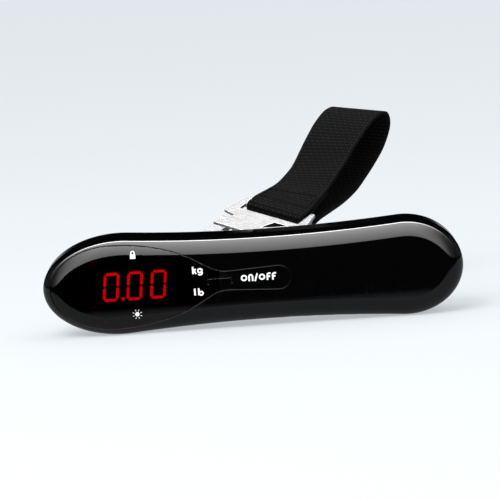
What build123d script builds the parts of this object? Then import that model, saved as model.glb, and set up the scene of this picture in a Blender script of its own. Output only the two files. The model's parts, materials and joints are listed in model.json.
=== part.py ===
"""Digital luggage scale: a bone-shaped handle with a load cell inside and a webbing strap on a swivel eye.

Millimetres. X runs along the handle, the display end at -X. The display faces -Y and Z is up.
The origin is the middle of the handle, on the parting plane of its two shells. The strap pulls along +Y.
"""

import os
from math import asin, atan2, cos, degrees, radians, sin, sqrt, tan

from build123d import *

os.makedirs("parts", exist_ok=True)

# ---- Driving dimensions: the case ----
END_X = 75.0  # both tips of the case, measured from the origin
WAIST_X = 4.8  # where the case is slimmest
WAIST_HALF_HEIGHT = 15.45
WAIST_RADIUS = 620.0
LEFT_JOIN_X, RIGHT_JOIN_X = -43.9, 52.6  # where the waist's curves run into the ellipses of the two ends
HALF_DEPTH = 12.5
WALL = 2.0
EDGE_RADIUS = 6.6
FLOOR_Y = HALF_DEPTH - WALL
SINK = 0.2  # how far a post runs into the wall that carries it

# ---- Lens and button ----
LENS_CENTRE_X = -50.0
LENS_LENGTH = 22.0  # from the lens's widest place to its left tip
LENS_HALF_HEIGHT = 14.75
LENS_SHOULDER = [  # along X, half height and slope, down to the neck that the button joins
    (-34.5, 13.05, -0.25),
    (-22.0, 8.75, -0.48),
    (-14.5, 4.6, -0.4),
    (-8.0, 3.35, 0.05),
]
BUTTON_END_X = 9.0
BUTTON_RADIUS = 4.2
SPLIT_X = -12.0  # the lens ends and the button starts here
LENS_BACK_Y = -10.5
LEDGE_Y = -10.2
LEDGE_BACK_Y = -9.2
LEDGE_WIDTH = 1.2
SEAT_GAP = 0.12
RIM_RADIUS = 0.2
BUTTON_GAP = 0.15
FLEX_TAB = (8.8, 2.2)
TAB_SLOT = 0.3
BARREL_X, BARREL_Y, BARREL_RADIUS = -10.0, -8.6, 1.0
SWITCH_X = 4.0

# ---- Electronics ----
BOARD_FRONT_Y, BOARD_BACK_Y = -4.8, -3.6
LED_X = -42.2
LED_FACE_Y = -10.2
DIGIT_PITCH = 8.4
DIGIT_WIDTH, DIGIT_HEIGHT = 5.6, 10.2
DIGIT_SLANT = 6.5
SEGMENT_WIDTH = 0.95
SEGMENT_THICK = 0.15
SEGMENT_GAP = 0.12
POST_SPOTS = [(-57.0, 9.0), (-57.0, -9.0), (-14.0, 9.5), (-14.0, -9.5)]

# ---- Load cell ----
CELL_LEFT_X, CELL_RIGHT_X = -44.0, 6.0
CELL_FRONT_Y, CELL_BACK_Y = 0.5, 7.5
CELL_HALF_WIDTH = 6.0
CELL_SCREW_X = (-40.0, -32.0)
GAUGE_X = (-23.0, -15.0)
GAUGE_THICK = 0.4
CLAMP_THICK = 1.4

# ---- Batteries ----
AAA_RADIUS, AAA_LENGTH = 5.25, 44.5
AAA_Y, AAA_Z = 5.2, 5.6
TRAY_LEFT_X, TRAY_RIGHT_X = 14.8, 63.8
TRAY_HALF_WIDTH = 11.3
TRAY_FLOOR_Y = -0.2
TRAY_WALL = 1.2
CONTACT_THICK = 0.3
COVER_X, COVER_LENGTH, COVER_WIDTH = 40.0, 52.0, 22.0
COVER_BACK_Y = 10.7

# ---- Case screws, driven from the rear ----
CASE_SCREW_SPOTS = [(-69.3, 0.0), (9.5, 10.8), (9.5, -10.8), (69.0, 0.0)]
FRONT_BOSS_RADIUS, REAR_BOSS_RADIUS = 2.8, 3.6
SCREW_RADIUS = 1.25
HEAD_RADIUS, HEAD_HEIGHT = 2.2, 1.6
HEAD_SEAT_Y = 9.2
SCREW_GAP = 0.05

# ---- Swivel eye ----
EYE_Y = 21.9
EYE_MAJOR, EYE_TUBE = 6.75, 1.75
EYE_TURN = 16.0  # degrees that the eye stands turned about its shank
SHANK_RADIUS = 2.5
BUSH_RADIUS, BUSH_FLANGE_RADIUS = 4.0, 5.2
BUSH_FLANGE_TOP = HALF_DEPTH + 0.6
RUN_GAP = 0.05

# ---- Strap and its plates ----
ACROSS = Vector(0.79, -0.57, -0.227).normalized()  # across the webbing
FACING = Vector(-0.026, -0.40, 0.916)
FACING = (FACING - ACROSS * FACING.dot(ACROSS)).normalized()  # out of the webbing's front face
ALONG = FACING.cross(ACROSS)  # from the eye to the strap's end
BAR_SHIFT = 10.4  # the eye hangs this far from the middle of the anchor plate's bar
BAR_REACH = 2.4  # from the eye's centre to the bar that lies in it
BAR_LIFT = 13.5  # degrees between that reach and the pull
BAR_RADIUS = 1.7
ANCHOR_HALF_WIDTH = 19.2
ANCHOR_LENGTH = 21.0
ANCHOR_THICK = 2.4
ANCHOR_SLOTS = [(0, 9.0), (13.5, ANCHOR_LENGTH)]
SLOT_HALF_WIDTH = 13.25
WEBBING_WIDTH, WEBBING_THICK = 25.0, 1.3
LAYER_GAP = 0.1
HOOK_ALONG, HOOK_OUT = 9.5, 3.2  # the hook plate's webbing bar, from the anchor plate's top bar
HOOK_LIFT = 0.9  # the plate's middle stands this far out from its bar
HOOK_THICK = 1.2
ANCHOR_EDGE, HOOK_EDGE = 0.35, 0.2
HOOK_BAR_RADIUS = 1.1
HOOK_SLOT = 5.2  # from the bar's centre to the plate's lower section
HOOK_HALF_OUTLINE = [  # half width and place along the plate, from its ears down to its lower edge
    (14.8, 3.6),
    (15.2, 3.2),
    (18.0, -8.4),
    (17.7, -9.1),
    (12.2, -10.4),
    (16.0, -18.4),
]
HOOK_WINDOW = [(2.2, -13.6), (4.8, -8.2), (10.4, -8.2), (5.4, -11.8)]
TONGUE_RADIUS = 15.1  # from the hook plate's bar
TONGUE_THICK = 1.5
TONGUE_HALF_WIDTH = 6.5
TONGUE_SWEEP = 24.0

eye_centre = Vector(0, EYE_Y, 0)
eye_side = Vector(sin(radians(EYE_TURN)), 0, cos(radians(EYE_TURN)))  # in the loop, square to the shank
bar_way = Vector(0, 1, 0) * cos(radians(BAR_LIFT)) + eye_side * sin(radians(BAR_LIFT))
anchor_origin = eye_centre + bar_way * BAR_REACH - ACROSS * BAR_SHIFT
top_bar = anchor_origin + ALONG * ANCHOR_LENGTH
hook_bar = top_bar + ALONG * HOOK_ALONG + FACING * HOOK_OUT


def level(y):
    """The plane of sketches in X and Z at one depth; it extrudes towards -Y."""
    return Plane.XZ.offset(-y)


def save(piece, name):
    piece.part.label = name
    export_step(piece.part, f"parts/{name}.step")


def end_ellipse(join_x, inset):
    """The ellipse that rounds off one end: centre, half axes, and its height where the waist meets it."""
    waist_run = abs(join_x - WAIST_X)
    waist_drop = sqrt((WAIST_RADIUS + inset) ** 2 - waist_run**2)
    join_z = WAIST_RADIUS + WAIST_HALF_HEIGHT - waist_drop
    slope = waist_run / waist_drop
    run = END_X - inset - abs(join_x)
    past = run**2 / (2 * run + join_z / slope)  # from the join to the ellipse's centre
    semi_x = run - past
    semi_z = semi_x * sqrt(slope * join_z / past)
    centre_x = join_x + past if join_x > 0 else join_x - past
    return centre_x, semi_x, semi_z, join_z


def case_half(inset):
    """The front half of the case's volume, drawn in from its surface by inset."""
    left_x, left_semi_x, left_semi_z, left_z = end_ellipse(LEFT_JOIN_X, inset)
    right_x, right_semi_x, right_semi_z, right_z = end_ellipse(RIGHT_JOIN_X, inset)
    left_angle = degrees(atan2(left_z / left_semi_z, (LEFT_JOIN_X - left_x) / left_semi_x))
    right_angle = degrees(atan2(right_z / right_semi_z, (RIGHT_JOIN_X - right_x) / right_semi_x))
    waist = (WAIST_X, WAIST_HALF_HEIGHT - inset)
    with BuildPart() as half:
        with BuildSketch(Plane.XZ):
            with BuildLine():
                EllipticalCenterArc(
                    (left_x, 0), left_semi_x, left_semi_z, start_angle=left_angle, arc_size=180 - left_angle
                )
                ThreePointArc((LEFT_JOIN_X, left_z), waist, (RIGHT_JOIN_X, right_z))
                EllipticalCenterArc(
                    (right_x, 0), right_semi_x, right_semi_z, start_angle=0, arc_size=right_angle
                )
                mirror(about=Plane.XZ)
            make_face()
        extrude(amount=HALF_DEPTH - inset)
        fillet(half.faces().sort_by(Axis.Y)[0].edges(), EDGE_RADIUS - inset)
    return half.part


def keyhole(y_back, y_front, grow=0.0):
    """A prism of the outline that the lens and the button share, between two depths."""
    top = (LENS_CENTRE_X, LENS_HALF_HEIGHT + grow)
    button_radius = BUTTON_RADIUS + grow
    shoulder = []
    for x, z, slope in LENS_SHOULDER:
        steep = sqrt(1 + slope**2)
        shoulder.append((x - slope / steep * grow, z + grow / steep))
    with BuildPart() as prism:
        with BuildSketch(level(y_back)):
            with BuildLine():
                EllipticalCenterArc(
                    (LENS_CENTRE_X, 0),
                    LENS_LENGTH + grow,
                    LENS_HALF_HEIGHT + grow,
                    start_angle=90,
                    arc_size=90,
                )
                Spline(top, *shoulder, tangents=((1, 0), (1, LENS_SHOULDER[-1][2])))
                Line(shoulder[-1], (BUTTON_END_X, button_radius))
                CenterArc((BUTTON_END_X, 0), button_radius, 0, 90)
                mirror(about=Plane.XZ)
            make_face()
        extrude(amount=y_back - y_front)
    return prism.part


def beside_split(left, gap=0.0):
    """A block that holds one side of the line between the lens and the button."""
    far_x = -80 if left else 80
    near_x = SPLIT_X - gap if left else SPLIT_X + gap
    with BuildPart() as side:
        with BuildSketch(level(0)):
            with Locations(((far_x + near_x) / 2, 0)):
                Rectangle(abs(far_x - near_x), 60)
        extrude(amount=20)
    return side.part


def pins(spots, radius, y_back, y_front):
    """Round posts or holes along Y at several places."""
    with BuildPart() as group:
        with BuildSketch(level(y_back)):
            with Locations(*spots):
                Circle(radius)
        extrude(amount=y_back - y_front)
    return group.part


def block(x_low, x_high, y_low, y_high, z_low, z_high):
    with BuildPart() as one:
        with BuildSketch(level(y_high)):
            with Locations(((x_low + x_high) / 2, (z_low + z_high) / 2)):
                Rectangle(x_high - x_low, z_high - z_low)
        extrude(amount=y_high - y_low)
    return one.part


def rim(piece, lowest_y=-10.8):
    """The edges where a piece's outer face meets its walls, without the split between lens and button."""
    found = {}
    for wall in piece.faces():
        if abs(wall.normal_at().Y) > 0.05:
            continue
        for edge in wall.edges():
            size = edge.bounding_box().size
            centre = edge.center()
            on_split = size.X < 0.01 and abs(centre.X - SPLIT_X) < 0.1
            if centre.Y < lowest_y and size.X + size.Z > 0.1 and not on_split:
                found[(round(centre.X, 3), round(centre.Y, 3), round(centre.Z, 3))] = edge
    return list(found.values())


def flex_slot():
    """The narrow slot round the sides and top of the tab where the lens and the button meet."""
    with BuildPart() as slot:
        with BuildSketch(level(-9)):
            with Locations((SPLIT_X, 0)):
                Rectangle(*FLEX_TAB)
            with Locations((SPLIT_X, -TAB_SLOT)):
                Rectangle(FLEX_TAB[0] - 2 * TAB_SLOT, FLEX_TAB[1], mode=Mode.SUBTRACT)
        extrude(amount=5)
    return slot.part


front_volume = case_half(0)
front_hollow = case_half(WALL)
rear_volume = front_volume.mirror(Plane.XZ)
rear_hollow = front_hollow.mirror(Plane.XZ)
barrel_cheeks = [(BARREL_X, 4.6), (BARREL_X, -4.6)]

# ---- Front shell ----
with BuildPart() as ledge:
    add(keyhole(LEDGE_BACK_Y, LEDGE_Y, 1.5))
    add(beside_split(True), mode=Mode.INTERSECT)
    add(front_volume, mode=Mode.INTERSECT)

with BuildPart() as window:
    add(keyhole(-9, -HALF_DEPTH - 1, -LEDGE_WIDTH))
    add(beside_split(True), mode=Mode.INTERSECT)

with BuildPart() as button_hole:
    add(keyhole(-9, -HALF_DEPTH - 1, SEAT_GAP))
    add(beside_split(False), mode=Mode.INTERSECT)

with BuildPart() as front_shell:
    add(front_volume)
    add(front_hollow, mode=Mode.SUBTRACT)
    add(ledge.part)
    for boss_x, boss_z in CASE_SCREW_SPOTS:
        add(pins([(boss_x, boss_z)], FRONT_BOSS_RADIUS, 0, -FLOOR_Y if boss_x > SPLIT_X else LEDGE_Y))
    with BuildSketch(level(-7.2)):
        with Locations(*barrel_cheeks):
            Rectangle(4.4, 1.4)
    extrude(amount=FLOOR_Y + SINK - 7.2)
    add(keyhole(LEDGE_Y, -HALF_DEPTH - 1, SEAT_GAP), mode=Mode.SUBTRACT)
    add(window.part, mode=Mode.SUBTRACT)
    add(button_hole.part, mode=Mode.SUBTRACT)
    with BuildSketch(Plane.XY.offset(-6)):
        with Locations((BARREL_X, BARREL_Y)):
            Circle(BARREL_RADIUS + RUN_GAP)
    extrude(amount=12, mode=Mode.SUBTRACT)
    add(pins(CASE_SCREW_SPOTS, SCREW_RADIUS + SCREW_GAP, 0, -8.4), mode=Mode.SUBTRACT)
    fillet(rim(front_shell.part), RIM_RADIUS)
save(front_shell, "front_shell")

# ---- Lens, gasket and button ----
with BuildPart() as display_lens:
    add(keyhole(LENS_BACK_Y, -HALF_DEPTH - 1))
    add(beside_split(True, 0.03), mode=Mode.INTERSECT)
    add(front_volume, mode=Mode.INTERSECT)
    add(flex_slot(), mode=Mode.SUBTRACT)
    fillet(rim(display_lens.part), RIM_RADIUS)
save(display_lens, "display_lens")

with BuildPart() as lens_gasket:
    add(keyhole(LEDGE_Y, LENS_BACK_Y, -0.05))
    add(keyhole(LEDGE_Y, LENS_BACK_Y, -LEDGE_WIDTH), mode=Mode.SUBTRACT)
    add(beside_split(True, 0.6), mode=Mode.INTERSECT)
save(lens_gasket, "lens_gasket")

with BuildPart() as power_button:
    add(keyhole(LENS_BACK_Y, -HALF_DEPTH - 1, SEAT_GAP - BUTTON_GAP))
    add(beside_split(False, 0.03), mode=Mode.INTERSECT)
    add(front_volume, mode=Mode.INTERSECT)
    add(flex_slot(), mode=Mode.SUBTRACT)
    fillet(rim(power_button.part), RIM_RADIUS)
    for arm_z in (2.1, -2.1):
        add(block(BARREL_X - 0.8, BARREL_X + 0.8, LENS_BACK_Y - 0.3, BARREL_Y, arm_z - 0.7, arm_z + 0.7))
    with BuildSketch(Plane.XY.offset(-5.2)):
        with Locations((BARREL_X, BARREL_Y)):
            Circle(BARREL_RADIUS)
    extrude(amount=10.4)
    add(pins([(SWITCH_X, 0)], 1.2, -9.1, LENS_BACK_Y - 0.3))
save(power_button, "power_button")

# ---- Rear shell and battery cover ----
eye_hole = [(0, 0)]
tray_left, tray_right = TRAY_LEFT_X - TRAY_WALL, TRAY_RIGHT_X + TRAY_WALL
tray_side = TRAY_HALF_WIDTH + TRAY_WALL

with BuildPart() as rear_shell:
    add(rear_volume)
    add(rear_hollow, mode=Mode.SUBTRACT)
    for boss_x, boss_z in CASE_SCREW_SPOTS:
        add(pins([(boss_x, boss_z)], REAR_BOSS_RADIUS, FLOOR_Y + SINK, 0))
    add(pins(POST_SPOTS, 2.2, FLOOR_Y + SINK, BOARD_BACK_Y))
    for cell_x in CELL_SCREW_X:
        add(pins([(cell_x, 0)], 3.2, FLOOR_Y + SINK, CELL_BACK_Y))
    add(pins(eye_hole, BUSH_RADIUS + 2, FLOOR_Y + SINK, 9.0))
    add(block(tray_left, tray_right, TRAY_FLOOR_Y - TRAY_WALL, FLOOR_Y + SINK, -tray_side, tray_side))
    add(
        block(TRAY_LEFT_X, TRAY_RIGHT_X, TRAY_FLOOR_Y, FLOOR_Y + SINK, -TRAY_HALF_WIDTH, TRAY_HALF_WIDTH),
        mode=Mode.SUBTRACT,
    )
    add(rear_volume + front_volume, mode=Mode.INTERSECT)
    with BuildSketch(level(HALF_DEPTH + 1)):
        with Locations((COVER_X, 0)):
            RectangleRounded(COVER_LENGTH + 2 * BUTTON_GAP, COVER_WIDTH + 2 * BUTTON_GAP, 2)
    extrude(amount=HALF_DEPTH + 1 - 10.2, mode=Mode.SUBTRACT)
    add(pins(CASE_SCREW_SPOTS, SCREW_RADIUS + 0.2, HALF_DEPTH, 0), mode=Mode.SUBTRACT)
    add(pins(CASE_SCREW_SPOTS, HEAD_RADIUS + 0.15, HALF_DEPTH + 1, HEAD_SEAT_Y), mode=Mode.SUBTRACT)
    add(pins(POST_SPOTS, 1.05, 4, BOARD_BACK_Y), mode=Mode.SUBTRACT)
    add(pins([(x, 0) for x in CELL_SCREW_X], 1.5, 11.6, CELL_BACK_Y), mode=Mode.SUBTRACT)
    add(pins(eye_hole, BUSH_RADIUS, HALF_DEPTH + 1, 8), mode=Mode.SUBTRACT)
save(rear_shell, "rear_shell")

with BuildPart() as battery_cover:
    with BuildSketch(level(HALF_DEPTH + 1)):
        with Locations((COVER_X, 0)):
            RectangleRounded(COVER_LENGTH, COVER_WIDTH, 2)
    extrude(amount=HALF_DEPTH + 1 - COVER_BACK_Y)
    add(rear_volume, mode=Mode.INTERSECT)
    with BuildSketch(level(HALF_DEPTH + 1)):
        with Locations(*[(COVER_X + 19 + 1.6 * step, 0) for step in range(4)]):
            SlotOverall(12, 0.8, rotation=90)
    extrude(amount=1.4, mode=Mode.SUBTRACT)
save(battery_cover, "battery_cover")

with BuildPart() as case_screws:
    add(pins(CASE_SCREW_SPOTS, SCREW_RADIUS, HEAD_SEAT_Y, -7.4))
    add(pins(CASE_SCREW_SPOTS, HEAD_RADIUS, HEAD_SEAT_Y + HEAD_HEIGHT, HEAD_SEAT_Y))
    for slot_size in ((2.6, 0.6), (0.6, 2.6)):
        with BuildSketch(level(HEAD_SEAT_Y + HEAD_HEIGHT)):
            with Locations(*CASE_SCREW_SPOTS):
                Rectangle(*slot_size)
        extrude(amount=0.9, mode=Mode.SUBTRACT)
save(case_screws, "case_screws")

# ---- Main board and what stands on it ----
with BuildPart() as main_pcb:
    with BuildSketch(level(BOARD_BACK_Y)):
        with Locations((-34.5, 0)):
            RectangleRounded(57, 24, 7)
        with Locations((-2, 0)):
            Rectangle(21, 12)
        with Locations(*POST_SPOTS):
            Circle(1.15, mode=Mode.SUBTRACT)
    extrude(amount=BOARD_BACK_Y - BOARD_FRONT_Y)
save(main_pcb, "main_pcb")

with BuildPart() as pcb_screws:
    add(pins(POST_SPOTS, 1.0, 2.0, BOARD_FRONT_Y))
    add(pins(POST_SPOTS, 1.8, BOARD_FRONT_Y, BOARD_FRONT_Y - 1.2))
    with BuildSketch(level(BOARD_FRONT_Y - 0.6)):
        with Locations(*POST_SPOTS):
            Rectangle(2.2, 0.5)
            Rectangle(0.5, 2.2)
    extrude(amount=0.6, mode=Mode.SUBTRACT)
save(pcb_screws, "pcb_screws")

with BuildPart() as led_display:
    with BuildSketch(level(BOARD_FRONT_Y)):
        with Locations((LED_X, 0)):
            RectangleRounded(28, 14, 0.5)
    extrude(amount=BOARD_FRONT_Y - LED_FACE_Y)
save(led_display, "led_display")


def digits(letters, point_digits):
    """The named segments of all three digits, and the decimal points after the given digits."""
    side = (DIGIT_WIDTH - SEGMENT_WIDTH) / 2
    half = (DIGIT_HEIGHT - SEGMENT_WIDTH) / 2
    spots = {
        "a": (0, half, 0),
        "b": (side, half / 2, 90),
        "c": (side, -half / 2, 90),
        "d": (0, -half, 0),
        "e": (-side, -half / 2, 90),
        "f": (-side, half / 2, 90),
        "g": (0, 0, 0),
    }
    lean = tan(radians(DIGIT_SLANT))
    tip = SEGMENT_WIDTH / 2
    with BuildPart() as group:
        with BuildSketch(level(LED_FACE_Y)):
            for digit in (-1, 0, 1):
                for letter in letters:
                    x, z, turn = spots[letter]
                    reach = (half / 2 if turn else side) - SEGMENT_GAP
                    slant = turn - (DIGIT_SLANT if turn else 0)
                    with Locations(Location((LED_X + digit * DIGIT_PITCH + x + z * lean, z), slant)):
                        with BuildLine(mode=Mode.PRIVATE) as outline:
                            Polyline((-reach, 0), (tip - reach, tip), (reach - tip, tip), (reach, 0))
                            mirror(about=Plane.XZ)
                        add(make_hull(outline.edges(), mode=Mode.PRIVATE))
            for digit in point_digits:
                with Locations((LED_X + (digit + 0.5) * DIGIT_PITCH - 0.3, 0.7 - DIGIT_HEIGHT / 2)):
                    Circle(0.62)
        extrude(amount=SEGMENT_THICK)
    return group


save(digits("abcdef", [-1]), "segments_lit")
save(digits("g", [0, 1]), "segments_off")

INDICATOR_SPOTS = [(-19.5, 3.4), (-19.5, -4.0), (-42.0, 10.6), (-42.0, -10.4)]
with BuildPart() as indicator_leds:
    with BuildSketch(level(BOARD_FRONT_Y)):
        with Locations(*INDICATOR_SPOTS):
            Rectangle(2.0, 1.25)
    extrude(amount=0.8)
save(indicator_leds, "indicator_leds")

with BuildPart() as tact_switch:
    with BuildSketch(level(BOARD_FRONT_Y)):
        with Locations((SWITCH_X, 0)):
            RectangleRounded(6, 6, 0.5)
    extrude(amount=3.5)
    with BuildSketch(level(-6.4)):
        with Locations((SWITCH_X, 0)):
            Circle(1.65)
    extrude(amount=4, mode=Mode.SUBTRACT)
save(tact_switch, "tact_switch")

with BuildPart() as tact_plunger:
    add(pins([(SWITCH_X, 0)], 1.6, -6.8, -9.0))
save(tact_plunger, "tact_plunger")

with BuildPart() as control_chip:
    add(block(-59, -49, BOARD_BACK_Y + 0.2, BOARD_BACK_Y + 1.8, -2.2, 2.2))
    for lead in range(7):
        lead_x = -57.8 + 1.27 * lead
        add(block(lead_x - 0.2, lead_x + 0.2, BOARD_BACK_Y, BOARD_BACK_Y + 0.9, -3.2, 3.2))
save(control_chip, "control_chip")

SMALL_PART_SPOTS = [(-50, 8), (-46, 8), (-27, 9), (-23, 9), (-50, -8), (-46, -8), (-27, -9), (-23, -9)]
with BuildPart() as smd_parts:
    with BuildSketch(level(BOARD_BACK_Y + 0.7)):
        with Locations(*SMALL_PART_SPOTS):
            Rectangle(2.0, 1.25)
    extrude(amount=0.7)
save(smd_parts, "smd_parts")

# ---- Load cell ----
with BuildPart() as load_cell:
    add(block(CELL_LEFT_X, CELL_RIGHT_X, CELL_FRONT_Y, CELL_BACK_Y, -CELL_HALF_WIDTH, CELL_HALF_WIDTH))
    with BuildSketch(Plane.XY.offset(-10)):
        with Locations((sum(GAUGE_X) / 2, (CELL_FRONT_Y + CELL_BACK_Y) / 2)):
            Rectangle(GAUGE_X[1] - GAUGE_X[0], 1.4)
        with Locations(*[(x, (CELL_FRONT_Y + CELL_BACK_Y) / 2) for x in GAUGE_X]):
            Circle(2.5)
    extrude(amount=20, mode=Mode.SUBTRACT)
    add(pins([(x, 0) for x in CELL_SCREW_X], 1.7, 9, 0), mode=Mode.SUBTRACT)
    add(pins(eye_hole, SHANK_RADIUS + RUN_GAP, 9, 0), mode=Mode.SUBTRACT)
save(load_cell, "load_cell")

with BuildPart() as strain_gauges:
    for gauge_x in GAUGE_X:
        for face_y in (CELL_FRONT_Y - GAUGE_THICK, CELL_BACK_Y):
            add(block(gauge_x - 2.5, gauge_x + 2.5, face_y, face_y + GAUGE_THICK, -3.5, 3.5))
save(strain_gauges, "strain_gauges")

clamp_front_y = CELL_FRONT_Y - CLAMP_THICK
with BuildPart() as load_cell_plate:
    add(block(CELL_LEFT_X, -28, clamp_front_y, CELL_FRONT_Y, -CELL_HALF_WIDTH, CELL_HALF_WIDTH))
    add(pins([(x, 0) for x in CELL_SCREW_X], 1.7, 3, -3), mode=Mode.SUBTRACT)
save(load_cell_plate, "load_cell_plate")

with BuildPart() as load_cell_screws:
    add(pins([(x, 0) for x in CELL_SCREW_X], 1.45, 11.2, clamp_front_y))
    add(pins([(x, 0) for x in CELL_SCREW_X], 2.8, clamp_front_y, clamp_front_y - 1.8))
    with BuildSketch(level(clamp_front_y - 0.8)):
        with Locations(*[(x, 0) for x in CELL_SCREW_X]):
            RegularPolygon(1.45, 6)
    extrude(amount=2, mode=Mode.SUBTRACT)
save(load_cell_screws, "load_cell_screws")

# ---- Swivel eye, its bush, washer and nut ----
with BuildPart() as eye_bush:
    add(pins(eye_hole, BUSH_RADIUS - 0.02, HALF_DEPTH, 9.0))
    add(pins(eye_hole, BUSH_FLANGE_RADIUS, BUSH_FLANGE_TOP, HALF_DEPTH))
    add(pins(eye_hole, SHANK_RADIUS + RUN_GAP, 15, 8), mode=Mode.SUBTRACT)
save(eye_bush, "eye_bush")

loop_normal = eye_side.cross(Vector(0, 1, 0))
with BuildPart() as swivel_eye:
    with Locations(Plane(origin=eye_centre, z_dir=loop_normal)):
        Torus(EYE_MAJOR, EYE_TUBE)
    add(pins(eye_hole, SHANK_RADIUS, EYE_Y - EYE_MAJOR, -3.2))
    add(pins(eye_hole, 3.6, EYE_Y - EYE_MAJOR - 1.0, BUSH_FLANGE_TOP + RUN_GAP))
save(swivel_eye, "swivel_eye")

with BuildPart() as eye_washer:
    add(pins(eye_hole, 4.6, CELL_FRONT_Y, CELL_FRONT_Y - 0.8))
    add(pins(eye_hole, SHANK_RADIUS, 2, -2), mode=Mode.SUBTRACT)
save(eye_washer, "eye_washer")

with BuildPart() as eye_nut:
    with BuildSketch(level(CELL_FRONT_Y - 0.8)):
        RegularPolygon(4.0, 6, major_radius=False)
        Circle(SHANK_RADIUS, mode=Mode.SUBTRACT)
    extrude(amount=2.5)
save(eye_nut, "eye_nut")

# ---- Anchor plate: a ladder of three bars that hangs in the eye ----
anchor_plane = Plane(origin=anchor_origin, x_dir=ACROSS, z_dir=FACING)

with BuildPart() as anchor_plate:
    with BuildSketch(anchor_plane.offset(-ANCHOR_THICK / 2)):
        with Locations((0, ANCHOR_LENGTH / 2)):
            Rectangle(2 * ANCHOR_HALF_WIDTH, ANCHOR_LENGTH)
        for low, high in ANCHOR_SLOTS:
            with Locations((0, (low + high) / 2)):
                Rectangle(2 * SLOT_HALF_WIDTH, high - low, mode=Mode.SUBTRACT)
    extrude(amount=ANCHOR_THICK)
    fillet(anchor_plate.faces().sort_by(Axis(anchor_origin, FACING))[-1].edges(), ANCHOR_EDGE)
    fillet(anchor_plate.faces().sort_by(Axis(anchor_origin, FACING))[0].edges(), ANCHOR_EDGE)
    for bar_y in (0, ANCHOR_LENGTH):
        with Locations(anchor_plane.location * Location((0, bar_y, 0), (0, 90, 0))):
            Cylinder(BAR_RADIUS, 2 * ANCHOR_HALF_WIDTH)
save(anchor_plate, "anchor_plate")

# ---- Webbing, drawn in the plane across its width ----
profile_plane = Plane(origin=top_bar, x_dir=ALONG, z_dir=ALONG.cross(FACING))
BACK_TURN, BACK_TAIL_TURN = radians(-1.0), radians(-25.0)
FRONT_TURN, FRONT_TAIL_TURN = radians(2.5), radians(27.0)
WRAP_RADIUS = BAR_RADIUS + LAYER_GAP + WEBBING_THICK / 2
HOOK_WRAP_RADIUS = HOOK_BAR_RADIUS + LAYER_GAP + WEBBING_THICK / 2
BACK_RUN, FRONT_RUN, TAIL_RUN = 14.0, 14.0, 9.0
LOOP_KNOTS = [
    (28.0, -3.8),
    (36.0, -4.1),
    (44.0, -3.2),
    (50.0, -1.0),
    (57.0, 2.2),
    (64.0, 6.6),
    (68.6, 13.0),
    (67.2, 18.8),
    (61.0, 20.6),
    (54.0, 18.9),
    (46.0, 14.9),
    (38.0, 10.0),
    (30.0, 6.9),
]


def heading(angle):
    return Vector(cos(angle), sin(angle))


def square_to(angle):
    return Vector(-sin(angle), cos(angle))


def wrap(bar, radius, turn, tail_turn, side):
    """Where the webbing round a bar goes on as the loop, where its tail starts and where the tail joins it."""
    main_start = bar + square_to(turn) * radius * side
    tail_start = bar - square_to(tail_turn) * radius * side
    beside = main_start - square_to(turn) * (WEBBING_THICK + LAYER_GAP) * side
    reach = (beside - tail_start).dot(square_to(turn)) / heading(tail_turn).dot(square_to(turn))
    tail_meet = tail_start + heading(tail_turn) * reach + heading(turn) * 2
    return main_start, tail_start, tail_meet


hook_spot = Vector(HOOK_ALONG, HOOK_OUT)
back_start, tail_start, tail_meet = wrap(Vector(0, 0), WRAP_RADIUS, BACK_TURN, BACK_TAIL_TURN, -1)
back_end = back_start + heading(BACK_TURN) * BACK_RUN
front_start, hook_tail_start, hook_tail_meet = wrap(
    hook_spot, HOOK_WRAP_RADIUS, FRONT_TURN, FRONT_TAIL_TURN, 1
)
front_end = front_start + heading(FRONT_TURN) * FRONT_RUN

with BuildPart() as webbing_strap:
    with BuildSketch(profile_plane.offset(-WEBBING_WIDTH / 2)):
        with BuildLine():
            Line(tail_meet + heading(BACK_TURN) * TAIL_RUN, tail_meet)
            Spline(tail_meet, tail_start, tangents=(heading(BACK_TURN) * -1, heading(BACK_TAIL_TURN) * -1))
            ThreePointArc(tail_start, (-WRAP_RADIUS, 0), back_start)
            Line(back_start, back_end)
            Spline(back_end, *LOOP_KNOTS, front_end, tangents=(heading(BACK_TURN), heading(FRONT_TURN) * -1))
            Line(front_end, front_start)
            ThreePointArc(front_start, hook_spot - Vector(HOOK_WRAP_RADIUS, 0), hook_tail_start)
            Spline(hook_tail_start, hook_tail_meet, tangents=(heading(FRONT_TAIL_TURN), heading(FRONT_TURN)))
            Line(hook_tail_meet, hook_tail_meet + heading(FRONT_TURN) * TAIL_RUN)
        trace(line_width=WEBBING_THICK)
    extrude(amount=WEBBING_WIDTH)
save(webbing_strap, "webbing_strap")

# ---- Stitches through the back layer's sewn tail ----
STITCH = (2.2, 0.5, 0.3)
STITCH_PITCH = 3.2
STITCH_ROWS = [-9.5, -4.75, 0, 4.75, 9.5]
stitch_line = back_start + heading(BACK_TURN) * 5.5 - square_to(BACK_TURN) * (WEBBING_THICK + STITCH[2]) / 2
stitch_along = ALONG * cos(BACK_TURN) + FACING * sin(BACK_TURN)

with BuildPart() as strap_stitches:
    for step in range(3):
        spot = stitch_line + heading(BACK_TURN) * STITCH_PITCH * step
        for row in STITCH_ROWS:
            centre = top_bar + ALONG * spot.X + FACING * spot.Y + ACROSS * row
            with Locations(Plane(origin=centre, x_dir=stitch_along, z_dir=stitch_along.cross(ACROSS))):
                Box(*STITCH)
save(strap_stitches, "strap_stitches")

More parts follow.
